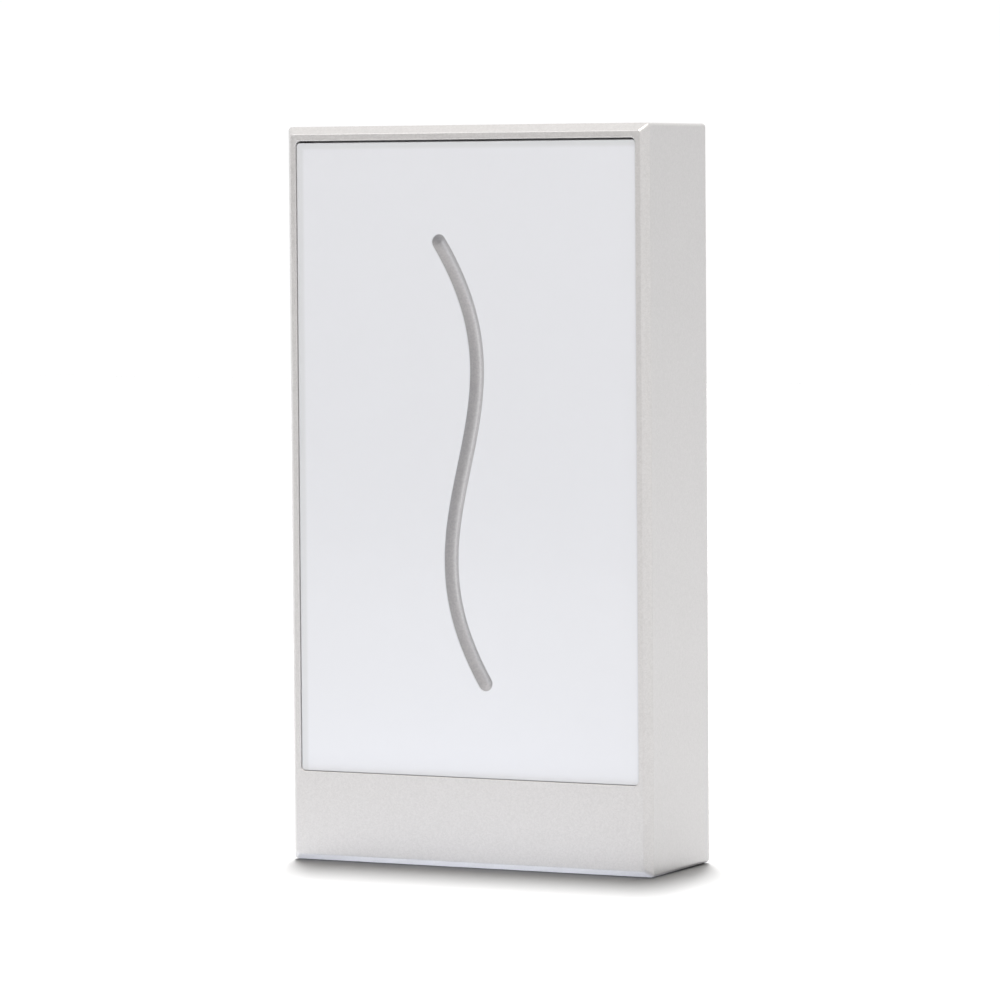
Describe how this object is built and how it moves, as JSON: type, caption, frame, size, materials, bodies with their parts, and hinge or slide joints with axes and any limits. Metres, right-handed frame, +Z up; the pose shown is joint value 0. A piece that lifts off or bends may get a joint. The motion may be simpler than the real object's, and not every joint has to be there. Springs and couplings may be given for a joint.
{
  "type": "rfid card reader",
  "caption": "Slim upright wall reader: chamfered silver housing, flush white front panel with an S-shaped light slot, sealed rear cover and steel wall bracket with a tamper plunger.",
  "frame": {"origin": "centre of the flat bottom face", "axes": "+X to the right seen from the front, -Y out of the front panel, +Z up; the wall is at +Y"},
  "size_m": [0.065, 0.0247, 0.12],
  "materials": {
    "silver_paint": "fine silver metallic paint on moulded plastic, satin",
    "white_panel": "clear acrylic printed white on its back, polished",
    "diffuser": "silver-grey translucent light guide, satin",
    "tape": "foam tape",
    "board": "green solder mask on glass laminate",
    "copper": "enamelled copper wire",
    "lamp": "white lamp body with a pale yellow filling",
    "black_plastic": "black moulded plastic",
    "cream_plastic": "cream nylon",
    "grey_plastic": "dark grey moulded plastic, fine texture",
    "plunger_plastic": "white acetal",
    "rubber": "black silicone rubber",
    "can": "bright metal can",
    "zinc_steel": "zinc-plated steel"
  },
  "bodies": {
    "reader": {"antenna_coil": "copper", "board_screw_1": "zinc_steel", "board_screw_2": "zinc_steel", "board_screw_3": "zinc_steel", "board_screw_4": "zinc_steel", "bracket_nut": "zinc_steel", "buzzer": "black_plastic", "cable_grommet": "rubber", "cable_header": "cream_plastic", "capacitor_1": "can", "capacitor_2": "can", "cover_gasket": "rubber", "cover_screw_1": "zinc_steel", "cover_screw_2": "zinc_steel", "cover_screw_3": "zinc_steel", "cover_screw_4": "zinc_steel", "crystal": "can", "front_housing": "silver_paint", "front_panel": "white_panel", "led_1": "lamp", "led_2": "lamp", "led_3": "lamp", "led_4": "lamp", "led_5": "lamp", "led_6": "lamp", "light_guide": "diffuser", "main_board": "board", "microcontroller": "black_plastic", "panel_adhesive": "tape", "reader_chip": "black_plastic", "rear_cover": "grey_plastic", "security_screw": "zinc_steel", "tamper_spring": "zinc_steel", "tamper_switch": "black_plastic", "voltage_regulator": "black_plastic", "wall_bracket": "zinc_steel"},
    "plunger": {"tamper_plunger": "plunger_plastic"}
  },
  "joints": [
    {"name": "tamper_slide", "type": "slide", "parent": "reader", "child": "plunger", "axis": [0, -1, 0], "range_m": [0, 0.0015], "stiffness_N_per_m": 250, "springref_m": -0.001, "deforming": ["tamper_spring"]}
  ]
}
